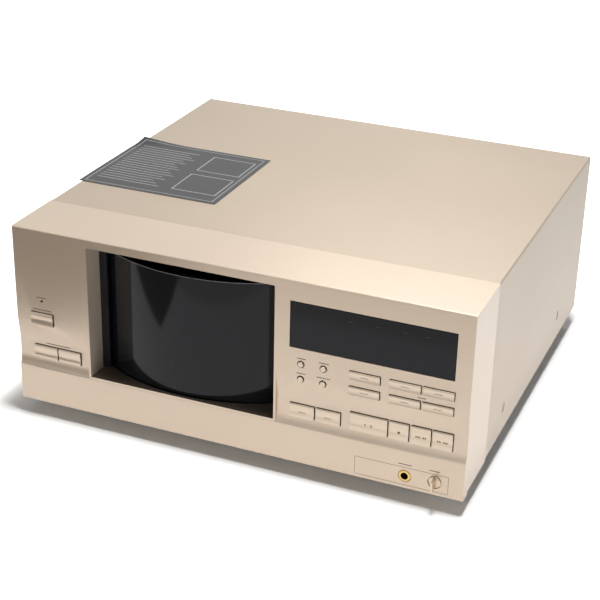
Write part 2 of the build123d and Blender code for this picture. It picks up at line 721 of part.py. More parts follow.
door_drive_reach = (DOOR_TEETH + DOOR_PINION_TEETH) * DOOR_MODULE / 2
door_drive_x = RACK_X + door_drive_reach * cos(radians(ahead(DOOR_DRIVE_ANGLE)))
door_drive_y = deep(RACK_D) + door_drive_reach * sin(radians(ahead(DOOR_DRIVE_ANGLE)))
with BuildPart() as door_gear:
    with BuildSketch(Plane(origin=(door_drive_x, door_drive_y, up(RING_LOW + 0.5)))):
        Circle(DOOR_PINION_TEETH * DOOR_MODULE / 2 - 1.15 * DOOR_MODULE)
        gear_face(DOOR_PINION_TEETH, DOOR_MODULE, ahead(DOOR_DRIVE_ANGLE) + 180 + 180 / DOOR_PINION_TEETH)
        Circle(MOTOR_SHAFT_R + 0.05, mode=Mode.SUBTRACT)
    extrude(amount=4.6)
save(door_gear, "door_gear")

with BuildPart() as door_motor:
    # flat motor on the floor, low enough for the ring to pass over it
    with BuildSketch(Plane(origin=(door_drive_x, door_drive_y, up(FLOOR)))):
        Circle(14)
    extrude(amount=RING_LOW - 0.6 - FLOOR)
    chamfer(door_motor.edges().group_by(Axis.Z)[-1], 1)
    with BuildSketch(Plane(origin=(door_drive_x, door_drive_y, up(FLOOR)))):
        Circle(MOTOR_SHAFT_R)
    extrude(amount=RING_HIGH - FLOOR)
save(door_motor, "door_motor")

# ---------------------------------------------------------------- player mechanism
out_x, out_y = cos(radians(MECH_ANGLE)), sin(radians(MECH_ANGLE))
disc_x = RACK_X + MECH_REACH * out_x
disc_y = deep(RACK_D) + MECH_REACH * out_y
# the player's plane: x leads away from the rack, y up, z along the spindle away from the disc
player = Plane(origin=(disc_x, disc_y, up(DISC_MID)), x_dir=(out_x, out_y, 0), z_dir=(out_y, -out_x, 0))
FRAME_AT = 8.0
FRAME_T = 2.0
ROD_Y = 16.0
ROD_Z = 16.0
ROD_R = 1.5
SLED_START = 24.0
FRAME_FOOT = DISC_MID - FLOOR
rod_end = Plane(origin=player.from_local_coords((9, 0, ROD_Z)), x_dir=player.y_dir, z_dir=player.x_dir)
mech_pin = Plane(origin=player.from_local_coords((-30, 65, -12)), x_dir=player.y_dir, z_dir=player.x_dir)
with BuildPart() as mech_frame:
    with BuildSketch(player.offset(FRAME_AT)):
        with Locations((12.5, 4)):
            RectangleRounded(145, 132, 4)
        Circle(10, mode=Mode.SUBTRACT)
        with Locations((41, 0)):
            Rectangle(50, 14, mode=Mode.SUBTRACT)
        with Locations((-44, 40), (-44, -36)):
            RectangleRounded(18, 24, 4, mode=Mode.SUBTRACT)
    extrude(amount=FRAME_T)
    # legs and foot flanges
    for leg_x in (-46, 72):
        with BuildSketch(player.offset(FRAME_AT)):
            with Locations((leg_x, -(FRAME_FOOT + 50) / 2)):
                Rectangle(22, FRAME_FOOT - 50)
        extrude(amount=FRAME_T)
        with BuildSketch(player.offset(FRAME_AT)):
            with Locations((leg_x, -FRAME_FOOT + 1)):
                Rectangle(22, 2)
        extrude(amount=16)
    # bridge over the disc to the clamp's pivot
    with BuildSketch(player.offset(FRAME_AT + FRAME_T)):
        with Locations((0, 69)):
            Rectangle(44, 2)
    extrude(amount=-26)
    for ear_x in (-20, 20):
        with BuildSketch(player.offset(-16)):
            with Locations((ear_x, 65)):
                Rectangle(2, 8)
        extrude(amount=7)
    # lugs for the sled's rods
    for rod_y in (-ROD_Y, ROD_Y):
        for lug_x in (11.5, 85.8):
            with BuildSketch(player.offset(FRAME_AT + 1)):
                with Locations((lug_x - 0.8, rod_y)):
                    Rectangle(2.4, 7)
            extrude(amount=12)
    with BuildSketch(rod_end):
        with Locations((-ROD_Y, 0), (ROD_Y, 0)):
            Circle(ROD_R + 0.02)
    extrude(amount=80, mode=Mode.SUBTRACT)
    with BuildSketch(mech_pin):
        Circle(1.55)
    extrude(amount=60, mode=Mode.SUBTRACT)
    # pivot stud of the loading arm
    with BuildSketch(player.offset(FRAME_AT + 1)):
        with Locations((0, -72)):
            Circle(3)
    extrude(amount=-11.5)
    with BuildSketch(player.offset(FRAME_AT)):
        with Locations((0, -70)):
            RectangleRounded(26, 24, 3)
    extrude(amount=FRAME_T)
save(mech_frame, "mech_frame")

with BuildPart() as guide_rods:
    with BuildSketch(rod_end):
        with Locations((-ROD_Y, 0), (ROD_Y, 0)):
            Circle(ROD_R)
    extrude(amount=80)
save(guide_rods, "guide_rods")

SPINDLE_R = 1.5
with BuildPart() as spindle_motor:
    with BuildSketch(player.offset(FRAME_AT + FRAME_T)):
        Circle(10.4)
    extrude(amount=12)
    with BuildSketch(player.offset(FRAME_AT + FRAME_T)):
        Circle(SPINDLE_R)
    extrude(amount=-7)
save(spindle_motor, "spindle_motor")

with BuildPart() as turntable:
    with BuildSketch(player.offset(4.2)):
        Circle(15)
    extrude(amount=-3)
    with BuildSketch(player.offset(7.4)):
        Circle(5)
    extrude(amount=-4)
    with BuildSketch(player.offset(1.4)):
        Circle(7.3)
    extrude(amount=-2.6, taper=20)
    with BuildSketch(player.offset(8)):
        Circle(SPINDLE_R + 0.05)
    extrude(amount=-5.4, mode=Mode.SUBTRACT)
save(turntable, "turntable")

with BuildPart() as pickup_sled:
    with BuildSketch(player.offset(FRAME_AT + FRAME_T + 1.2)):
        with Locations((SLED_START + 5, 0)):
            RectangleRounded(26, 40, 2)
    extrude(amount=9)
    with BuildSketch(player.offset(FRAME_AT + FRAME_T + 1.5)):
        with Locations((SLED_START, 0)):
            Circle(5)
    extrude(amount=-9)
    with BuildSketch(player.offset(FRAME_AT + FRAME_T - 7.4)):
        with Locations((SLED_START, 0)):
            Circle(2.2)
    extrude(amount=-0.8)
    with BuildSketch(rod_end):
        with Locations((-ROD_Y, 0), (ROD_Y, 0)):
            Circle(ROD_R + 0.06)
    extrude(amount=80, mode=Mode.SUBTRACT)
save(pickup_sled, "pickup_sled")

# clamp arm hangs from its pin with the puck clear of the disc
with BuildPart() as clamp_arm:
    with BuildSketch(player.offset(-13.5)):
        with Locations((0, 29.5)):
            RectangleRounded(24, 75, 5)
        Circle(4.06, mode=Mode.SUBTRACT)
    extrude(amount=2.5)
    with BuildSketch(player.offset(-13.5)):
        with Locations((0, 64.5)):
            Rectangle(36, 5)
    extrude(amount=3.5)
    with BuildSketch(mech_pin):
        Circle(1.5)
    extrude(amount=60)
save(clamp_arm, "clamp_arm")

with BuildPart() as clamp_puck:
    with BuildSketch(player.offset(-10.7)):
        Circle(14)
    extrude(amount=4)
    with BuildSketch(player.offset(-15)):
        Circle(4)
    extrude(amount=6)
    with BuildSketch(player.offset(-15.2)):
        Circle(5.5)
    extrude(amount=1.4)
    # hollow that goes over the turntable's cone
    with BuildSketch(player.offset(-6)):
        Circle(8)
    extrude(amount=-2.6, mode=Mode.SUBTRACT)
save(clamp_puck, "clamp_puck")

# the loading arm swings a grooved roller up under the disc's edge
ARM_LENGTH = 54.0
with BuildPart() as loading_arm:
    with BuildSketch(player.offset(-1.5)):
        with Locations((0, -72)):
            Circle(7)
        with Locations((-ARM_LENGTH / 2, -72)):
            Rectangle(ARM_LENGTH, 8)
        with Locations((-ARM_LENGTH, -72)):
            Circle(5)
        with Locations((0, -72)):
            Circle(3.06, mode=Mode.SUBTRACT)
    extrude(amount=-2.4)
    with BuildSketch(player.offset(-1.6)):
        with Locations((-ARM_LENGTH, -72)):
            Circle(4)
    extrude(amount=5)
    with BuildSketch(player.offset(-0.9)):
        with Locations((-ARM_LENGTH, -72)):
            Circle(4.5)
            Circle(2.6, mode=Mode.SUBTRACT)
    extrude(amount=1.8, mode=Mode.SUBTRACT)
save(loading_arm, "loading_arm")

with BuildPart() as loading_motor:
    with BuildSketch(player.offset(FRAME_AT + FRAME_T)):
        with Locations((-40, 0)):
            Circle(12)
    extrude(amount=24)
    chamfer(loading_motor.edges().filter_by(GeomType.CIRCLE), 1.2)
save(loading_motor, "loading_motor")

# ---------------------------------------------------------------- electronics and power
with BuildPart() as main_board:
    with BuildSketch(Plane.XY.offset(up(9))):
        with Locations((161, deep(165))):
            Rectangle(84, 190)
    extrude(amount=1.6)
    with BuildSketch(Plane.XY.offset(up(FLOOR))):
        with Locations((161, deep(165))):
            with GridLocations(74, 180, 2, 2):
                Circle(3)
    extrude(amount=8)
    # processor, memory and smoothing capacitors
    with BuildSketch(Plane.XY.offset(up(10.5))):
        with Locations((150, deep(120))):
            Rectangle(24, 24)
        with Locations((184, deep(110))):
            Rectangle(10, 26)
    extrude(amount=3)
    with BuildSketch(Plane.XY.offset(up(10.5))):
        with Locations((186, deep(230))):
            with GridLocations(0, 20, 1, 3):
                Circle(8)
    extrude(amount=26)
    with BuildSketch(Plane.XY.offset(up(10.5))):
        with Locations((158, deep(244))):
            Rectangle(4, 22)
            with GridLocations(0, 7, 1, 4):
                Rectangle(16, 2)
    extrude(amount=30)
save(main_board, "main_board")

with BuildPart() as power_transformer:
    with BuildSketch(Plane.XY.offset(up(FLOOR))):
        with Locations((-176, deep(352))):
            Rectangle(54, 48)
    extrude(amount=2)
    # laminated core with its winding standing out on both sides
    with BuildSketch(Plane.XY.offset(up(FLOOR + 2))):
        with Locations((-176, deep(352))):
            Rectangle(48, 28)
    extrude(amount=44)
    with BuildSketch(Plane.XY.offset(up(FLOOR + 10))):
        with Locations((-176, deep(352))):
            RectangleRounded(30, 46, 6)
    extrude(amount=28)
save(power_transformer, "power_transformer")
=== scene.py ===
# %% [markdown]
# # A disc changer with a turning door
# The object is a champagne hi-fi box.  A curved smoked door turns aside in the front, and behind it
# about a hundred discs stand on edge in a round rack.  The measured parts come in ready made, at their
# real size, in metres.  This lesson gives them finishes, softens their edges, prints their marks and
# sets up the camera, lamps and floor.

# %% Load the measured parts
import json
from math import cos, radians, sin

import bmesh
import bpy
from mathutils import Matrix, Vector


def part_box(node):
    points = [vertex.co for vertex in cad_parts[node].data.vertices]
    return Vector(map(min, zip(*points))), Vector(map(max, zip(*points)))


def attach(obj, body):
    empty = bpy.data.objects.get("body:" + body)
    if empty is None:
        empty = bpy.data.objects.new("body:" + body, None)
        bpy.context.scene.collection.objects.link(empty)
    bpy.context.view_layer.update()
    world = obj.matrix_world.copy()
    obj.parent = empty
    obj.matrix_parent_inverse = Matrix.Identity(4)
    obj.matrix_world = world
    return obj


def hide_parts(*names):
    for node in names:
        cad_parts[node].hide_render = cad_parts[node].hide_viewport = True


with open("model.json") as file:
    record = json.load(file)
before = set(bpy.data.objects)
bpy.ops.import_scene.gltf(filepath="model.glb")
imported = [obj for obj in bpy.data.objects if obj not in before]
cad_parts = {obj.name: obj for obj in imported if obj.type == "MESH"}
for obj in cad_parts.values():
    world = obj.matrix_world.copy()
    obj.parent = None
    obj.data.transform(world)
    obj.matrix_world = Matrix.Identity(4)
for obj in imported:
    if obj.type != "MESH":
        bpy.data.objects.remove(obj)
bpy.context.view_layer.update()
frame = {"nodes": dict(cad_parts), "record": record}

MM = 0.001
nodes = frame["nodes"]

# %% [markdown]
# ## Places on the front
# Everything printed or fitted on the front is placed from the left end and the bottom of the fascia,
# the way a drawing would give it.  These three helpers turn such distances into scene coordinates, and
# one more says how far the key field lies behind the lower lip.

# %% Places on the front
panel_low, panel_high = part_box("front_panel")
LEFT, BOTTOM, TOP = panel_low[0], panel_low[2], panel_high[2]
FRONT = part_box("front_panel")[0][1]


def across(mm):
    return LEFT + mm * MM


def up(mm):
    return BOTTOM + mm * MM


def deep(mm):
    return FRONT + mm * MM


def key_field(height):
    """Depth of the front surface behind the lip, in mm, at a height in mm."""
    slope_top, slope_foot, recess, lip_top = 82.0, 61.0, 2.5, 34.0
    if height >= slope_top or height <= lip_top:
        return 0.0
    return recess * min(1.0, (slope_top - height) / (slope_top - slope_foot))


print("fascia", round((panel_high[0] - LEFT) / MM), "mm wide,", round((TOP - BOTTOM) / MM), "mm high")

# %% [markdown]
# ## The camera
# The picture was taken from the right of the middle and from well above, with a long lens.  The
# camera's place and turn were worked out from the corners of the box, so they are plain numbers here:
# where it stands, the direction it looks from, a slight roll and the focal length.

# %% Camera
CAMERA_AT = Vector((0.46797, -1.1993, 0.68784))
LOOK_ASIDE, LOOK_DOWN, ROLL = radians(22.075), radians(25.656), radians(1.348)
FOCAL_MM = 88.8

back = Vector((sin(LOOK_ASIDE) * cos(LOOK_DOWN), -cos(LOOK_ASIDE) * cos(LOOK_DOWN), sin(LOOK_DOWN)))
level = (-back).cross(Vector((0, 0, 1))).normalized()
upward = level.cross(-back)
right = level * cos(ROLL) + upward * sin(ROLL)
head = upward * cos(ROLL) - level * sin(ROLL)
turn = Matrix((right, head, back)).transposed().to_4x4()
bpy.ops.object.camera_add(location=CAMERA_AT)
camera = bpy.context.object
camera.matrix_world = Matrix.Translation(CAMERA_AT) @ turn
camera.data.lens = FOCAL_MM
camera.data.sensor_width = 36.0
camera.data.clip_start = 0.05
bpy.context.scene.camera = camera
print("camera", [round(v, 3) for v in camera.location])

# %% [markdown]
# ## Maths in a shader
# Several shaders below work out a mask or a strength from a few numbers.  This helper adds one maths
# node: each value is either a plain number or what another node gives.

# %% One maths node
def math_node(tree, operation, *values):
    made = tree.nodes.new("ShaderNodeMath")
    made.operation = operation
    for index, value in enumerate(values):
        if isinstance(value, (int, float)):
            made.inputs[index].default_value = value
        else:
            tree.links.new(value, made.inputs[index])
    return made.outputs[0]


# %% [markdown]
# ## Lamps and world
# The object stands on a white sweep.  One lamp hangs straight above, so the shadow is a narrow dark
# band along the foot of the front.  A second one behind the object is mirrored along the front edge of
# the top, and a weak third one lifts the front.  The room is white to look at but gives little light,
# because much light from all round would wash the shadow out.

# %% Lamps
def soft_lamp(name, at, toward, size, watts):
    bpy.ops.object.light_add(type="AREA", location=at)
    lamp = bpy.context.object
    lamp.name = name
    lamp.data.shape = "RECTANGLE"
    lamp.data.size, lamp.data.size_y = size
    lamp.data.energy = watts
    lamp.rotation_euler = (Vector(toward) - Vector(at)).to_track_quat("-Z", "Y").to_euler()
    return lamp


soft_lamp("overhead_lamp", at=(0.18, -0.12, 2.2), toward=(0, 0, 0), size=(0.4, 0.4), watts=49)
soft_lamp("window_light", at=(-0.50, 1.9, 1.8), toward=(0.1, -0.2, 0.18), size=(0.7, 0.5), watts=5)
soft_lamp("fill_lamp", at=(0.35, -2.2, 0.9), toward=(0, -0.1, 0.1), size=(1.0, 1.0), watts=3)
print("lamps ready")

# %% World
ROOM_LIGHT, ROOM_SEEN = 0.12, 1.0    # strength as light, and as the background of the picture
ROOM_MIRRORED = 0.55                 # how far a mirroring surface sees it as the background
world = bpy.data.worlds.new("white_room")
bpy.context.scene.world = world
world.use_nodes = True
tree = world.node_tree
background = tree.nodes["Background"]
background.inputs["Color"].default_value = (1, 1, 1, 1)
rays = tree.nodes.new("ShaderNodeLightPath").outputs
seen = math_node(tree, "MAXIMUM", rays["Is Camera Ray"], rays["Is Transmission Ray"])
share = math_node(tree, "MULTIPLY_ADD", rays["Is Glossy Ray"], ROOM_MIRRORED, seen)
strength = tree.nodes.new("ShaderNodeMapRange")
strength.inputs["To Min"].default_value = ROOM_LIGHT
strength.inputs["To Max"].default_value = ROOM_SEEN
tree.links.new(share, strength.inputs["Value"])
tree.links.new(strength.outputs["Result"], background.inputs["Strength"])
print("world ready")

# %% [markdown]
# ## Floor and reflector cards
# The floor is drawn brighter than it lights, so that it is white right up to the shadow.  Beyond the
# shadow's reach it also glows a little, which keeps it white where the lamps are far.  Two cards lie on
# it in front of the object.  Only mirroring surfaces see them: a dark one darkens the upper left of the
# front, and a pale grey one tones down the upper right.

# %% Floor and cards
MIRRORED_SHARE = 0.2     # how much of the brighter colour the mirroring surfaces see
SWEEP_GLOW = (0.6, 1.5)  # metres from the object at which the sweep starts to glow, and is white
FLOOR_WHITE, FLOOR_SEEN = (0.86,) * 3, (1.5,) * 3
CARD_LIFT = 0.002        # metres above the floor


def plain_sheet(name, size, centre, colour, seen=None):
    """A flat piece of the set.  The camera and the mirroring surfaces see it in the second colour."""
    bpy.ops.mesh.primitive_plane_add(size=1, location=(0, 0, 0))
    piece = bpy.context.object
    piece.name = name
    for vertex in piece.data.vertices:
        vertex.co = (centre[0] + vertex.co.x * size[0], centre[1] + vertex.co.y * size[1], centre[2])
    material = bpy.data.materials.new(name + "_finish")
    material.use_nodes = True
    tree = material.node_tree
    shader = tree.nodes["Principled BSDF"]
    shader.inputs["Roughness"].default_value = 1.0
    shader.inputs["Specular IOR Level"].default_value = 0.0
    rays = tree.nodes.new("ShaderNodeLightPath").outputs
    camera_ray, glossy_ray = rays["Is Camera Ray"], rays["Is Glossy Ray"]
    looked_at = math_node(tree, "MULTIPLY_ADD", glossy_ray, MIRRORED_SHARE, camera_ray)
    shade = tree.nodes.new("ShaderNodeMix")
    shade.data_type = "RGBA"
    shade.inputs["A"].default_value = (*colour, 1)
    shade.inputs["B"].default_value = (*(seen or colour), 1)
    tree.links.new(looked_at, shade.inputs["Factor"])
    tree.links.new(shade.outputs["Result"], shader.inputs["Base Color"])
    place = tree.nodes.new("ShaderNodeTexCoord")
    distance = tree.nodes.new("ShaderNodeVectorMath")
    distance.operation = "LENGTH"
    tree.links.new(place.outputs["Object"], distance.inputs[0])
    glow = tree.nodes.new("ShaderNodeMapRange")
    glow.inputs["From Min"].default_value, glow.inputs["From Max"].default_value = SWEEP_GLOW
    tree.links.new(distance.outputs["Value"], glow.inputs["Value"])
    watched = math_node(tree, "MULTIPLY", glow.outputs["Result"], camera_ray)
    shader.inputs["Emission Color"].default_value = (1, 1, 1, 1)
    tree.links.new(watched, shader.inputs["Emission Strength"])
    piece.data.materials.append(material)
    return piece


floor = plain_sheet("white_floor", (12, 12), (0, 0, 0), FLOOR_WHITE, FLOOR_SEEN)
cloth = plain_sheet("dark_cloth", (1.4, 1.1), (-0.92, -0.90, CARD_LIFT), (0.15, 0.125, 0.10))
card = plain_sheet("grey_card", (1.1, 1.1), (0.33, -1.03, CARD_LIFT), (0.72, 0.70, 0.68))
for unseen in (cloth, card):
    unseen.visible_camera = unseen.visible_shadow = unseen.visible_diffuse = False
print("floor and two cards")

# %% [markdown]
# ## Finishes
# Most of the box is sprayed with one champagne metallic paint.  A finish like that is never one flat
# colour: fine flakes sparkle, the film is slightly uneven, and handling leaves faint smears.  One
# shader group gives all of these, with its own amounts in each material.

# %% The shared surface group
def make_surface_group():
    group = bpy.data.node_groups.new("sprayed_or_moulded_surface", "ShaderNodeTree")
    side = group.interface
    side.new_socket("Colour", in_out="INPUT", socket_type="NodeSocketColor")
    for label, value in (("Roughness", 0.4), ("Mottle size", 30.0), ("Mottle", 0.05),
                         ("Grain size", 900.0), ("Grain depth", 0.1), ("Smear", 0.05)):
        socket = side.new_socket(label, in_out="INPUT", socket_type="NodeSocketFloat")
        socket.default_value = value
    side.new_socket("Colour", in_out="OUTPUT", socket_type="NodeSocketColor")
    side.new_socket("Roughness", in_out="OUTPUT", socket_type="NodeSocketFloat")
    side.new_socket("Normal", in_out="OUTPUT", socket_type="NodeSocketVector")

    node, link = group.nodes.new, group.links.new
    inside, outside = node("NodeGroupInput"), node("NodeGroupOutput")
    place = node("ShaderNodeTexCoord")
    mottle = node("ShaderNodeTexNoise")
    link(place.outputs["Object"], mottle.inputs["Vector"])
    link(inside.outputs["Mottle size"], mottle.inputs["Scale"])
    centred = math_node(group, "SUBTRACT", mottle.outputs["Fac"], 0.5)
    amount = math_node(group, "MULTIPLY_ADD", centred, inside.outputs["Mottle"], 1.0)
    tint = node("ShaderNodeVectorMath")
    tint.operation = "SCALE"
    link(inside.outputs["Colour"], tint.inputs[0])
    link(amount, tint.inputs["Scale"])
    link(tint.outputs["Vector"], outside.inputs["Colour"])
    # wiping leaves long faint smears across the surface
    stretch = node("ShaderNodeMapping")
    stretch.inputs["Scale"].default_value = (6.0, 6.0, 28.0)
    link(place.outputs["Object"], stretch.inputs["Vector"])
    smear = node("ShaderNodeTexNoise")
    smear.inputs["Scale"].default_value = 1.0
    smear.inputs["Detail"].default_value = 6.0
    link(stretch.outputs["Vector"], smear.inputs["Vector"])
    off = math_node(group, "SUBTRACT", smear.outputs["Fac"], 0.5)
    rough = math_node(group, "MULTIPLY_ADD", off, inside.outputs["Smear"], inside.outputs["Roughness"])
    rough.node.use_clamp = True
    link(rough, outside.inputs["Roughness"])
    grain = node("ShaderNodeTexNoise")
    grain.inputs["Detail"].default_value = 3.0
    link(place.outputs["Object"], grain.inputs["Vector"])
    link(inside.outputs["Grain size"], grain.inputs["Scale"])
    bump = node("ShaderNodeBump")
    bump.inputs["Distance"].default_value = 0.0002
    link(inside.outputs["Grain depth"], bump.inputs["Strength"])
    link(grain.outputs["Fac"], bump.inputs["Height"])
    link(bump.outputs["Normal"], outside.inputs["Normal"])
    return group


surface_group = make_surface_group()
print("surface group:", len(surface_group.nodes), "nodes")

# %% A finish from the group
finishes = {}


def finish(name, colour, rough=0.4, metal=0.0, coat=0.0, mottle=0.05, mottle_size=30.0, grain=0.1,
           grain_size=900.0, smear=0.06, **plain):
    """A material for one of the object's finishes.  plain sets other sockets of the shader by name."""
    material = bpy.data.materials.new(name)
    material.use_nodes = True
    tree = material.node_tree
    shader = tree.nodes["Principled BSDF"]
    surface = tree.nodes.new("ShaderNodeGroup")
    surface.node_tree = surface_group
    values = {"Roughness": rough, "Mottle size": mottle_size, "Mottle": mottle, "Grain size": grain_size,
              "Grain depth": grain, "Smear": smear}
    surface.inputs["Colour"].default_value = (*colour, 1)
    for label, value in values.items():
        surface.inputs[label].default_value = value
    tree.links.new(surface.outputs["Colour"], shader.inputs["Base Color"])
    tree.links.new(surface.outputs["Roughness"], shader.inputs["Roughness"])
    tree.links.new(surface.outputs["Normal"], shader.inputs["Normal"])
    shader.inputs["Metallic"].default_value = metal
    shader.inputs["Coat Weight"].default_value = coat
    for label, value in plain.items():
        shader.inputs[label.replace("_", " ")].default_value = value
    finishes[name] = material
    return material


CHAMPAGNE = (0.74, 0.60, 0.465)
# painted shade: the cover's copy of the champagne paint is darker than the fascia's, to tone down the
# lamp-lit top
COVER_SHADED_COLOUR = (0.585, 0.48, 0.37)
finish("fascia_paint", CHAMPAGNE, rough=0.30, metal=0.55, coat=0.45, mottle=0.06, mottle_size=14,
       grain=0.12, smear=0.08, Coat_Roughness=0.22)
finish("cover_painted_shade", COVER_SHADED_COLOUR, rough=0.34, metal=0.55, coat=0.15, mottle=0.06, mottle_size=9,
       grain=0.2, smear=0.1, Coat_Roughness=0.3)
finish("key_paint", (0.75, 0.615, 0.48), rough=0.28, metal=0.7, coat=0.25, mottle=0.04, grain=0.08,
       Coat_Roughness=0.25)
finish("black_mould", (0.008, 0.008, 0.009), rough=0.55, grain=0.5, grain_size=1400,
       Specular_IOR_Level=0.25)
finish("rack_mould", (0.022, 0.022, 0.025), rough=0.45, grain=0.25)
finish("smoked_door", (0.008, 0.009, 0.012), rough=0.09, grain=0.02, mottle=0.2, smear=0.08,
       Specular_IOR_Level=0.28)
finish("smoked_lens", (0.006, 0.006, 0.010), rough=0.10, grain=0.02, smear=0.05, Specular_IOR_Level=0.3)
finish("zinc_steel", (0.52, 0.52, 0.50), rough=0.38, metal=0.9, mottle=0.2, mottle_size=60, grain=0.1)
finish("ground_rod", (0.6, 0.6, 0.61), rough=0.15, metal=1.0, grain=0.05)
finish("rear_paint", (0.05, 0.048, 0.045), rough=0.5, metal=0.2, grain=0.4)
# painted shade: the window sill is coloured dark brown to stand for the shade under the door
finish("sill_painted_shade", (0.17, 0.135, 0.10), rough=0.38, metal=0.5, coat=0.2, mottle=0.06, grain=0.12)
# painted shade: the top and right sides of the keys are coloured dark brown
finish("key_side_painted_shade", (0.085, 0.068, 0.055), rough=0.5, metal=0.2, grain=0.1)
# painted highlight: the door's upper bevel is coloured light grey so that it shows as a bright rim
finish("door_edge_painted_highlight", (0.30, 0.31, 0.33), rough=0.3, coat=0.4, grain=0.02)
# painted light: the opening's left wall is coloured paler than the front's champagne
finish("reveal_painted_light", (0.80, 0.67, 0.54), rough=0.40, metal=0.3, coat=0.3, mottle=0.06, grain=0.12)
finish("screw_paint", (0.42, 0.33, 0.235), rough=0.35, metal=0.6)
finish("brass_ring", (0.72, 0.50, 0.18), rough=0.2, metal=1.0, mottle=0.15, mottle_size=200)
finish("socket_plate", (0.62, 0.62, 0.64), rough=0.2, metal=1.0)
finish("board_resin", (0.05, 0.14, 0.06), rough=0.4, grain=0.3, grain_size=400, mottle=0.3,
       mottle_size=120)
finish("varnished_core", (0.10, 0.10, 0.105), rough=0.45, metal=0.5, grain=0.3)
finish("milk_gear", (0.72, 0.70, 0.64), rough=0.4)
finish("rubber_pad", (0.02, 0.02, 0.02), rough=0.75, grain=0.6)
finish("foot_mould", (0.02, 0.02, 0.021), rough=0.5, grain=0.3)
finish("tube_glass", (0.10, 0.13, 0.14), rough=0.08, coat=0.3)
finish("lamp_plastic", (0.10, 0.012, 0.010), rough=0.15, coat=0.3)
finish("print_brown", (0.14, 0.10, 0.07), rough=0.5, metal=0.2, grain=0.05)
finish("print_dim", (0.035, 0.035, 0.038), rough=0.3, grain=0.05)
finish("film_grey", (0.035, 0.035, 0.037), rough=0.28, coat=0.25, mottle=0.25, mottle_size=40, smear=0.15)
print(len(finishes), "finishes")

# %% [markdown]
# ## Finishes on the measured parts
# Every measured part keeps its shape and gets one of the finishes.  The table goes from the record's
# material slots to the finishes.

# %% Paint the measured parts
BY_SLOT = {
    "fascia": "fascia_paint", "cover": "cover_painted_shade", "key": "key_paint", "rear": "rear_paint",
    "steel": "zinc_steel", "rod_steel": "ground_rod", "screw": "screw_paint",
    "black_plastic": "black_mould", "rack_plastic": "rack_mould", "door_plastic": "smoked_door",
    "display_glass": "smoked_lens", "tube_glass": "tube_glass", "board": "board_resin",
    "core": "varnished_core", "motor_can": "zinc_steel", "gear_plastic": "milk_gear",
    "jack_brass": "brass_ring", "jack_plate": "socket_plate", "lamp": "lamp_plastic",
    "foot": "foot_mould", "rubber": "rubber_pad",
}
slot_of = {entry["node"]: entry["material_slot"] for entry in frame["record"]["subparts"]}
for node, piece in nodes.items():
    material = finishes[BY_SLOT[slot_of[node]]]
    for index in range(max(1, len(piece.material_slots))):
        if len(piece.material_slots) == 0:
            piece.data.materials.append(material)
        piece.material_slots[index].material = material

bodies = frame["record"]["behaviour"]["bodies"]
body_of = {node: body for body, held in bodies.items() for node in held}
print("painted", len(slot_of), "parts")

# %% [markdown]
# ## Softer edges
# A measured solid has razor edges, and a real moulding or key has a small radius that catches the
# light.  A copy of the part is merged into whole faces, its sharp edges are bevelled, and the copy
# stands in for the part.

# %% A softened copy of a part
def only(piece):
    bpy.ops.object.select_all(action="DESELECT")
    piece.select_set(True)
    bpy.context.view_layer.objects.active = piece


def softened(node, radius, segments=2):
    """A copy of a part with its edges rounded; the radius is in mm."""
    source = nodes[node]
    piece = source.copy()
    piece.data = source.data.copy()
    piece.name = node + "_rounded"
    bpy.context.collection.objects.link(piece)
    piece.parent = None
    piece.matrix_world = Matrix.Identity(4)
    only(piece)
    bpy.ops.object.mode_set(mode="EDIT")
    bpy.ops.mesh.select_all(action="SELECT")
    bpy.ops.mesh.remove_doubles(threshold=2e-6)
    bpy.ops.mesh.dissolve_limited(angle_limit=radians(0.8))
    bpy.ops.object.mode_set(mode="OBJECT")
    bevel = piece.modifiers.new("rounded edges", "BEVEL")
    bevel.width = radius * MM
    bevel.segments = segments
    bevel.limit_method = "ANGLE"
    bevel.angle_limit = radians(28)
    bevel.miter_outer = "MITER_ARC"
    bevel.harden_normals = False
    bpy.ops.object.modifier_apply(modifier=bevel.name)
    bpy.ops.object.shade_smooth_by_angle(angle=radians(35))
    flat = piece.modifiers.new("flat faces stay flat", "WEIGHTED_NORMAL")
    flat.weight = 100
    flat.keep_sharp = True
    bpy.ops.object.modifier_apply(modifier=flat.name)
    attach(piece, body_of[node])
    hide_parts(node)
    return piece


key_names = [node for node in nodes if "_key" in node]
rounded = {node: softened(node, 0.22, segments=3) for node in key_names}
EDGE_RADIUS = {"front_panel": 0.25, "top_cover": 0.4, "level_knob": 0.3, "display_lens": 0.12,
               "rotary_door": 0.6, "window_frame": 0.25, "phones_jack": 0.15}
for node, radius in EDGE_RADIUS.items():
    rounded[node] = softened(node, radius)
for node in nodes:
    if node not in rounded:
        only(nodes[node])
        bpy.ops.object.shade_smooth_by_angle(angle=radians(30))
print("rounded", sorted(rounded))

# %% [markdown]
# ## Faces with painted shade and light
# The sill of the window opening is painted darker than the front, as painted shade from the door, and
# the opening's left wall is painted a little paler, as painted light.  The top and the right side of every
# key are painted dark, as painted shade from their openings.  The door's upper edge is painted lighter, a
# painted highlight where it would catch the light.  Each rule below looks at where a face is and which
# way it points.

# %% Paint shade and light on some faces
WINDOW = (72.0, 250.5, 36.0, 163.0)     # left, right, low and high limits, in mm
FACING = 0.7                            # least share of a face's direction to count as facing that way


def repaint(piece, finish_name, wanted):
    piece.data.materials.append(finishes[finish_name])
    number = len(piece.data.materials) - 1
    chosen = [face for face in piece.data.polygons if wanted(face.center, face.normal)]
    for face in chosen:
        face.material_index = number
    return len(chosen)


def in_window(at):
    left, right, low, high = WINDOW
    return across(left) < at.x < across(right) and up(low) < at.z < up(high) and at.y > deep(0.4)


def shaded_side(at, way):
    return way.y > -0.3 and max(way.x, way.z) > 0.6


door_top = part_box("rotary_door")[1][2]
front = rounded["front_panel"]
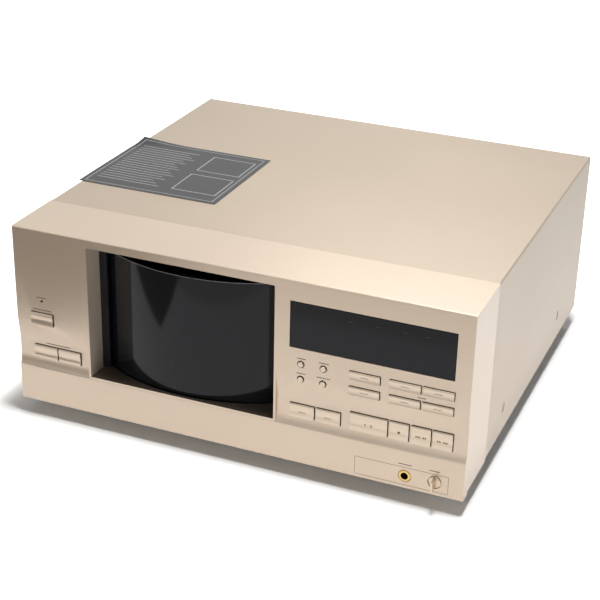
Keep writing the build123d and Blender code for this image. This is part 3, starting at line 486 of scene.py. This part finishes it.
# painted shade on the window sill, and painted light on the opening's left wall
counts = [repaint(front, "sill_painted_shade", lambda at, way: in_window(at) and way.z > FACING),
          repaint(front, "reveal_painted_light", lambda at, way: in_window(at) and way.x > FACING)]
# painted shade on the top and right side of every key
counts += [repaint(rounded[node], "key_side_painted_shade", shaded_side) for node in key_names]
# painted highlight on the door's upper edge
counts += [repaint(rounded["rotary_door"], "door_edge_painted_highlight",
                   lambda at, way: at.z > door_top - MM and 0.2 < way.z < 0.97)]
print("faces repainted:", counts)

# %% [markdown]
# ## Printed marks
# The signs on the transport keys are simple plates a few hundredths of a millimetre high: triangles,
# bars and a square.  Small plain rules stand where such a panel has its legends, on the front and on
# the keys, and a few dim strokes show in the display.  Each mark rides on the piece that carries it.

# %% Flat marks from outlines
PRINT_T = 0.06          # mm, raised enough to stay clear of the paint
PRINT_ROOT = 0.05       # mm below the paint, so that no gap shows under a mark


def plate(name, outlines, x, depth, height, body, finish_name, lift=PRINT_T):
    """Thin raised shapes that face the front, from outlines in mm round a point on the fascia."""
    mesh = bpy.data.meshes.new(name)
    shape = bmesh.new()
    for outline in outlines:
        low = [shape.verts.new((across(x + a), deep(depth - lift), up(height + b))) for a, b in outline]
        far = [shape.verts.new((across(x + a), deep(depth + PRINT_ROOT), up(height + b)))
               for a, b in outline]
        shape.faces.new(low)
        shape.faces.new(far[::-1])
        count = len(outline)
        for i in range(count):
            j = (i + 1) % count
            shape.faces.new((low[i], far[i], far[j], low[j]))
    bmesh.ops.recalc_face_normals(shape, faces=shape.faces)
    shape.to_mesh(mesh)
    shape.free()
    piece = bpy.data.objects.new(name, mesh)
    bpy.context.collection.objects.link(piece)
    mesh.materials.append(finishes[finish_name])
    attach(piece, body)
    return piece


def bar(x, z, wide, high):
    return [(x - wide / 2, z - high / 2), (x + wide / 2, z - high / 2), (x + wide / 2, z + high / 2),
            (x - wide / 2, z + high / 2)]


def arrow(x, z, size, way):
    tail, tip, half = x - way * size / 2, x + way * size / 2, size * 0.6
    return [(tail, z - half), (tip, z), (tail, z + half)]


# %% Signs on the transport keys
KEY_MARK_H, SIGN = 50.6, 1.7     # height of the signs on the front, and the measure that sizes them, in mm
KEY_STANDS = 1.8        # mm, how far a key stands out of the front
SIGN_SEAT = 0.36        # mm, how deep a sign sits in the key's finger hollow, which is 0.4 mm deep
KEY_FACE = key_field(KEY_MARK_H) - KEY_STANDS + SIGN_SEAT
signs = {
    "play_key": (334.7, [arrow(-2.6, 0, SIGN, 1), bar(1.9, 0, 0.55, 2.0), bar(3.1, 0, 0.55, 2.0)]),
    "stop_key": (361.4, [bar(0, 0, 2.0, 2.0)]),
    "previous_key": (380.3, [arrow(-3.2, 0, SIGN, -1), arrow(-1.4, 0, SIGN, -1), bar(-4.4, 0, 0.4, 2.0),
                             arrow(2.0, 0, SIGN, -1), arrow(3.8, 0, SIGN, -1)]),
    "next_key": (399.1, [arrow(-3.8, 0, SIGN, 1), arrow(-2.0, 0, SIGN, 1), arrow(1.4, 0, SIGN, 1),
                         arrow(3.2, 0, SIGN, 1), bar(4.4, 0, 0.4, 2.0)]),
}
for node, (x, outlines) in signs.items():
    plate(node + "_sign", outlines, x, KEY_FACE, KEY_MARK_H, body_of[node], "print_brown")
print("signs on", sorted(signs))

# %% Legend rules on the fascia
RULE_H, RULE_STEP = 0.7, 20.0    # height of a rule, and the distance between two in a row, in mm
LEGENDS = {
    "power_legend": (26.0, 93.4, (18.0,)),
    "lamp_legend": (25.5, 105.2, (9.0,)),
    "left_pair_legend": (39.0, 59.7, (25.0,)),
    "upper_round_legend": (284.0, 100.2, (8.0, 9.0)),
    "lower_round_legend": (284.0, 86.4, (8.0, 12.0)),
    "small_key_legend": (379.5, 87.9, (7.0,)),
    "socket_legend": (368.9, 22.6, (12.0,)),
    "level_legend": (394.5, 22.6, (9.0,)),
}
for name, (x, height, widths) in LEGENDS.items():
    first = -RULE_STEP * (len(widths) - 1) / 2
    outlines = [bar(first + RULE_STEP * i, 0, wide, RULE_H) for i, wide in enumerate(widths)]
    plate(name, outlines, x, key_field(height), height, "cabinet", "print_brown", lift=0.03)

# %% Rules on the small and wide keys
KEY_RULE = (7.0, 0.45)                   # width and height, in mm
RULES_AT = {"small": (0,), "wide": (1.2, -1.2)}     # heights from the middle of the key
for node in key_names:
    kind = node.split("_")[0]
    if kind in RULES_AT:
        low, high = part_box(node)
        x, z = (low[0] + high[0]) / 2, (low[2] + high[2]) / 2
        # a line from in front of the key finds its face
        face = rounded[node].ray_cast(Vector((x, FRONT - 0.05, z)), Vector((0, 1, 0)))[1]
        lines = [bar(0, height, *KEY_RULE) for height in RULES_AT[kind]]
        plate(node + "_rule", lines, (x - LEFT) / MM, (face.y - FRONT) / MM, (z - BOTTOM) / MM,
              body_of[node], "print_brown", lift=0.04)

# %% Dim strokes in the display
STROKES_AT = (334.6, 143.0)              # middle of the row, in mm
STROKES = [bar(x, 0, 3.6, 0.5) for x in (-18.0, 5.0, 28.0, 47.0)]
lens_front = (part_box("display_lens")[0][1] - FRONT) / MM
plate("display_signs", STROKES, STROKES_AT[0], lens_front, STROKES_AT[1], body_of["display_lens"],
      "print_dim", lift=0.03)

# %% Printed outline round the socket and the level knob
FIELD = (324.6, 406.7, 3.0, 19.7)
LINE = 0.35
mid_x, mid_z = (FIELD[0] + FIELD[1]) / 2, (FIELD[2] + FIELD[3]) / 2
wide, high = FIELD[1] - FIELD[0], FIELD[3] - FIELD[2]
frame_lines = [bar(0, high / 2, wide, LINE), bar(0, -high / 2, wide, LINE),
               bar(-wide / 2, 0, LINE, high - LINE), bar(wide / 2, 0, LINE, high - LINE)]
plate("socket_field_outline", frame_lines, mid_x, 0.0, mid_z, "cabinet", "print_brown", lift=0.03)
print("legends", len(LEGENDS), "and one outline")

# %% [markdown]
# ## The film on the lid
# A thin dark film lies on the left of the cover, with a pale border, plain rules to write on and two
# empty boxes.  One corner has lifted and curled.  The sheet starts as a grid, and the points near that
# corner are raised by a smooth formula before the sheet gets its thickness.  The print follows the
# sheet's own UV map, so that it curls along.

# %% The film's print, as a mask
FILM_ROWS = 22.0


def make_print_group():
    group = bpy.data.node_groups.new("ruled_film_print", "ShaderNodeTree")
    group.interface.new_socket("Mask", in_out="OUTPUT", socket_type="NodeSocketFloat")
    link = group.links.new

    def math(operation, *values):
        return math_node(group, operation, *values)

    def within(value, low, high):
        return math("MULTIPLY", math("GREATER_THAN", value, low), math("LESS_THAN", value, high))

    def box(u, v, left, right, low, high):
        return math("MULTIPLY", within(u, left, right), within(v, low, high))

    def outline(u, v, left, right, low, high, line):
        inner = box(u, v, left + line, right - line, low + line, high - line)
        return math("SUBTRACT", box(u, v, left, right, low, high), inner)

    spread = group.nodes.new("ShaderNodeUVMap")
    split = group.nodes.new("ShaderNodeSeparateXYZ")
    link(spread.outputs["UV"], split.inputs[0])
    u, v = split.outputs["X"], split.outputs["Y"]
    rows = math("MULTIPLY", v, FILM_ROWS)
    row = math("FLOOR", rows)
    rule = math("LESS_THAN", math("FRACT", rows), 0.2)
    # every row of the writing area ends at its own place
    end = math("ADD", math("MULTIPLY", math("FRACT", math("MULTIPLY", row, 0.618)), 0.10), 0.44)
    drawn = math("MULTIPLY", rule, math("LESS_THAN", u, end))
    writing = math("MULTIPLY", drawn, box(u, v, 0.07, 0.6, 0.12, 0.90))
    mask = math("MAXIMUM", writing, outline(u, v, 0.62, 0.94, 0.56, 0.88, 0.010))
    mask = math("MAXIMUM", mask, outline(u, v, 0.62, 0.94, 0.14, 0.48, 0.010))
    mask = math("MAXIMUM", mask, outline(u, v, 0.03, 0.97, 0.03, 0.97, 0.007))
    ends = group.nodes.new("NodeGroupOutput")
    link(mask, ends.inputs["Mask"])
    return group


film_finish = finishes["film_grey"]
tree = film_finish.node_tree
shader = tree.nodes["Principled BSDF"]
print_mask = tree.nodes.new("ShaderNodeGroup")
print_mask.node_tree = make_print_group()
ink = tree.nodes.new("ShaderNodeMix")
ink.data_type = "RGBA"
ink.inputs["B"].default_value = (0.30, 0.30, 0.29, 1)      # pale grey ink
base = shader.inputs["Base Color"].links[0].from_socket
tree.links.new(base, ink.inputs["A"])
tree.links.new(print_mask.outputs["Mask"], ink.inputs["Factor"])
tree.links.new(ink.outputs["Result"], shader.inputs["Base Color"])

# %% Film
FILM_W, FILM_L, FILM_T = 0.1405, 0.126, 0.00018
REST_GAP, WAVE_H = 0.00022, 0.00025      # metres above the cover, and height of the sheet's waves
CURL_H, CURL_SHIFT = 0.0045, (0.004, -0.003)    # the curled corner's rise, and how far it is drawn in
CURL_FROM, CURL_ACROSS = 0.80, 0.42      # shares of the length and the width at which the curl begins
film_left, film_front = across(-2.5), deep(119)
lid_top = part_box("top_cover")[1][2]
bpy.ops.object.select_all(action="DESELECT")
bpy.ops.mesh.primitive_grid_add(x_subdivisions=46, y_subdivisions=42, size=1, calc_uvs=True)
film = bpy.context.object
film.name = "lid_film"
film.data.uv_layers[0].name = "UVMap"
for vertex in film.data.vertices:
    u, v = vertex.co.x + 0.5, vertex.co.y + 0.5
    curl = max(0.0, (v - CURL_FROM) / (1 - CURL_FROM)) * max(0.0, 1 - u / CURL_ACROSS)
    wave = WAVE_H * sin(9 * u + 3 * v) * sin(7 * v)
    lift = REST_GAP + CURL_H * curl ** 1.6 + max(0.0, wave) * (0.3 + curl)
    drawn_in_x, drawn_in_y = CURL_SHIFT[0] * curl, CURL_SHIFT[1] * curl
    vertex.co = (film_left + FILM_W * u + drawn_in_x, film_front + FILM_L * v + drawn_in_y, lid_top + lift)
only(film)
thick = film.modifiers.new("thickness", "SOLIDIFY")
thick.thickness = FILM_T
thick.offset = 1.0
bpy.ops.object.modifier_apply(modifier=thick.name)
bpy.ops.object.shade_smooth_by_angle(angle=radians(40))
film.data.materials.append(film_finish)
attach(film, "cabinet")
print("film", round(FILM_W / MM), "x", round(FILM_L / MM), "mm")

# %% Colour view
bpy.context.scene.view_settings.view_transform = "Standard"
